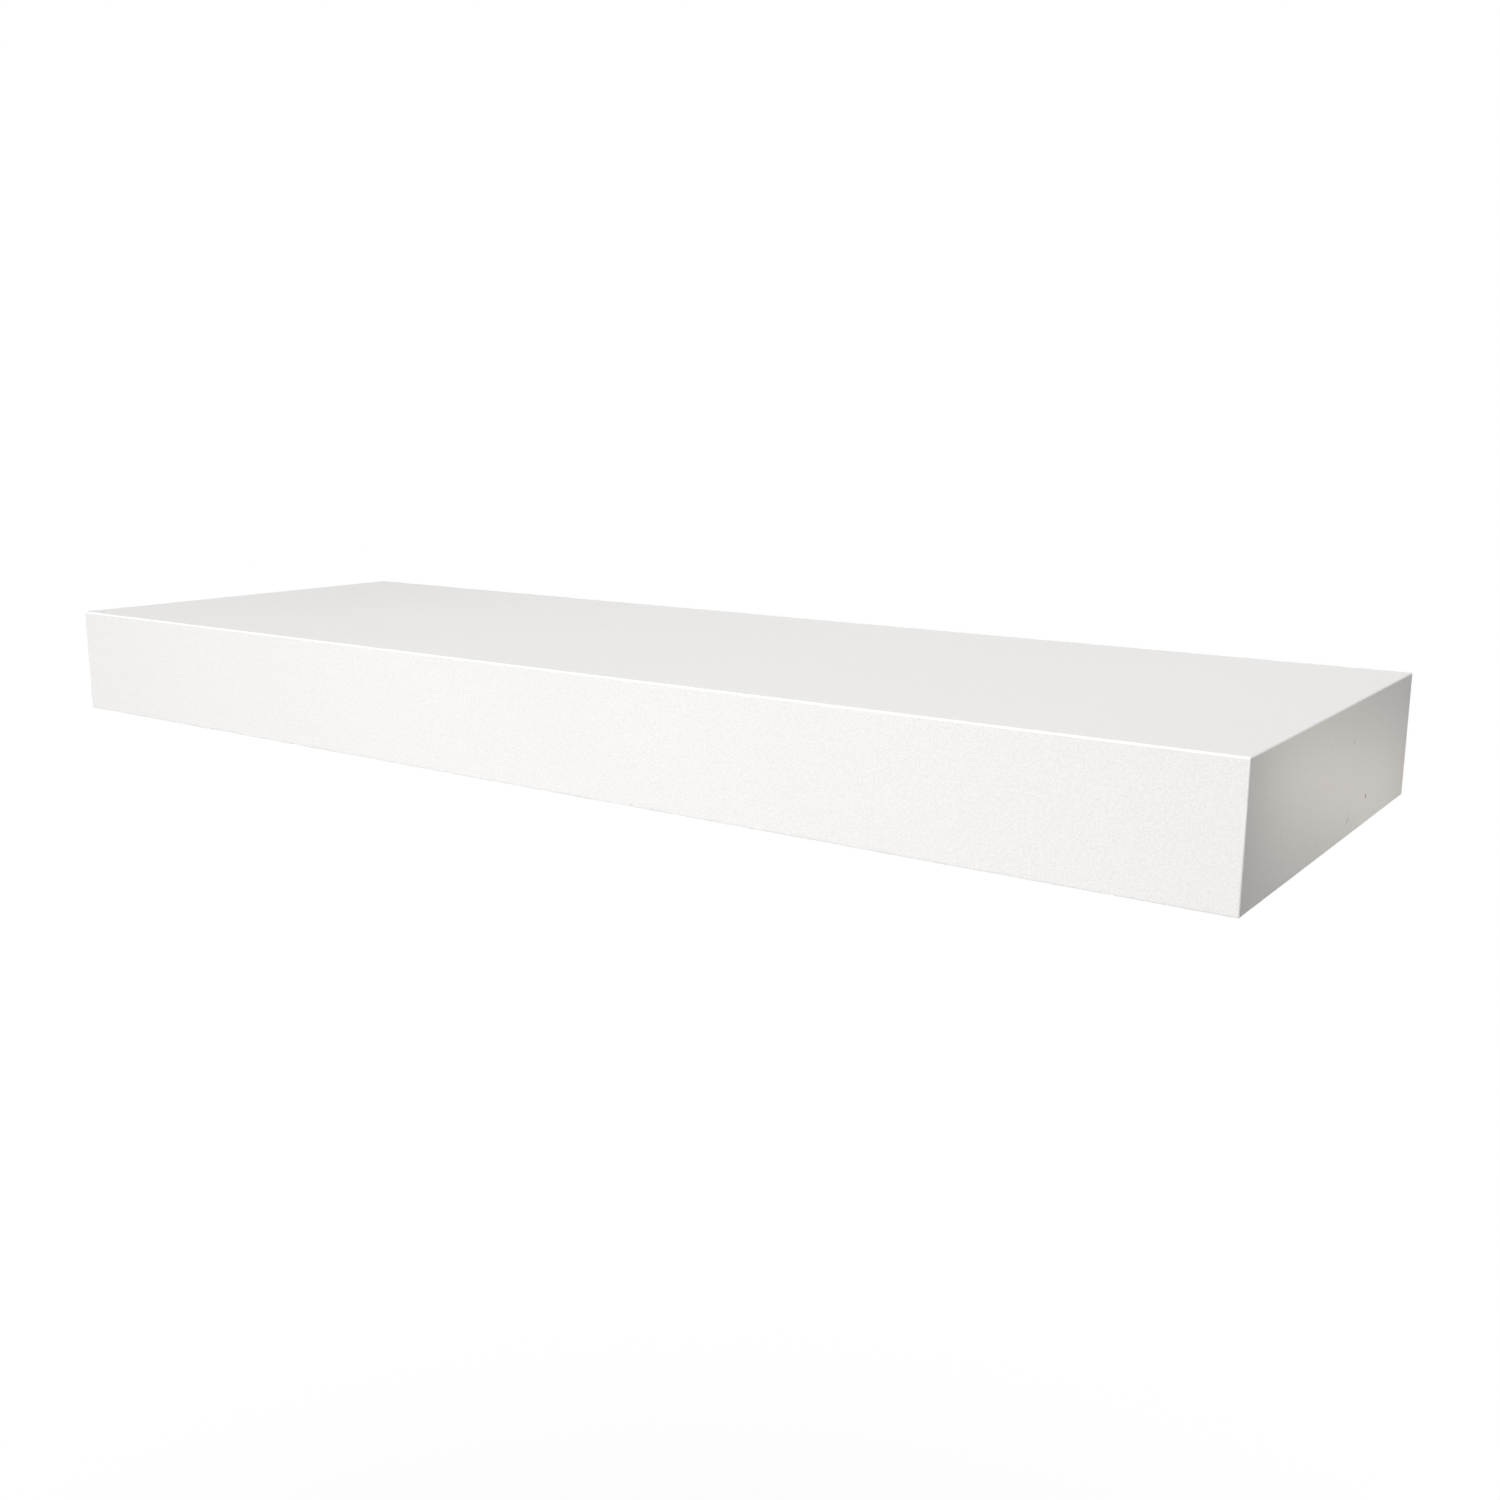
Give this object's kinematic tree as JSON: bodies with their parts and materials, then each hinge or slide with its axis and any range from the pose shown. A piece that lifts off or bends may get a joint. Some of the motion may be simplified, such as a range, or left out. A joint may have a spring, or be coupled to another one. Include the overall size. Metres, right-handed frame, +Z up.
{
  "type": "floating wall shelf",
  "caption": "Thick white box shelf with plain square faces that slides onto a hidden rod bracket on the wall.",
  "frame": {"origin": "middle of the wall plate's back face, on the wall, at half the shelf's height", "axes": "+X along the shelf to the right as seen from the room, +Y into the wall, +Z up"},
  "size_m": [0.6096, 0.2032, 0.0508],
  "materials": {
    "foil": "satin white foil with a fine orange-peel texture",
    "hardboard": "brown hardboard, smooth outside, raw at its cut edges",
    "chipboard": "raw chipboard with pale and dark flakes",
    "honeycomb": "brown kraft paper",
    "staple_wire": "bright zinc plated wire",
    "lock_screw": "bright zinc plate",
    "plate": "satin black powder coat",
    "rod": "bright drawn steel, zinc plated",
    "rod_screw": "bright zinc plate"
  },
  "bodies": {
    "wall_bracket": {"wall_plate": "plate", "rod_left": "rod", "rod_screw_left": "rod_screw", "rod_right": "rod", "rod_screw_right": "rod_screw"},
    "shelf": {"foil_wrap": "foil", "top_skin": "hardboard", "bottom_skin": "hardboard", "front_skin": "hardboard", "left_end_skin": "hardboard", "right_end_skin": "hardboard", "front_batten": "chipboard", "left_batten": "chipboard", "right_batten": "chipboard", "rear_rail": "chipboard", "middle_rail": "chipboard", "core_rear_left": "honeycomb", "core_rear_centre": "honeycomb", "core_rear_right": "honeycomb", "core_front": "honeycomb", "staple_front_left": "staple_wire", "staple_front_right": "staple_wire", "staple_middle_left": "staple_wire", "staple_middle_right": "staple_wire", "staple_rear_left": "staple_wire", "staple_rear_right": "staple_wire", "lock_screw_left": "lock_screw", "lock_screw_right": "lock_screw"}
  },
  "joints": [
    {"name": "shelf_slide", "type": "slide", "parent": "wall_bracket", "child": "shelf", "axis": [0, -1, 0], "range_m": [0, 0.125]}
  ]
}
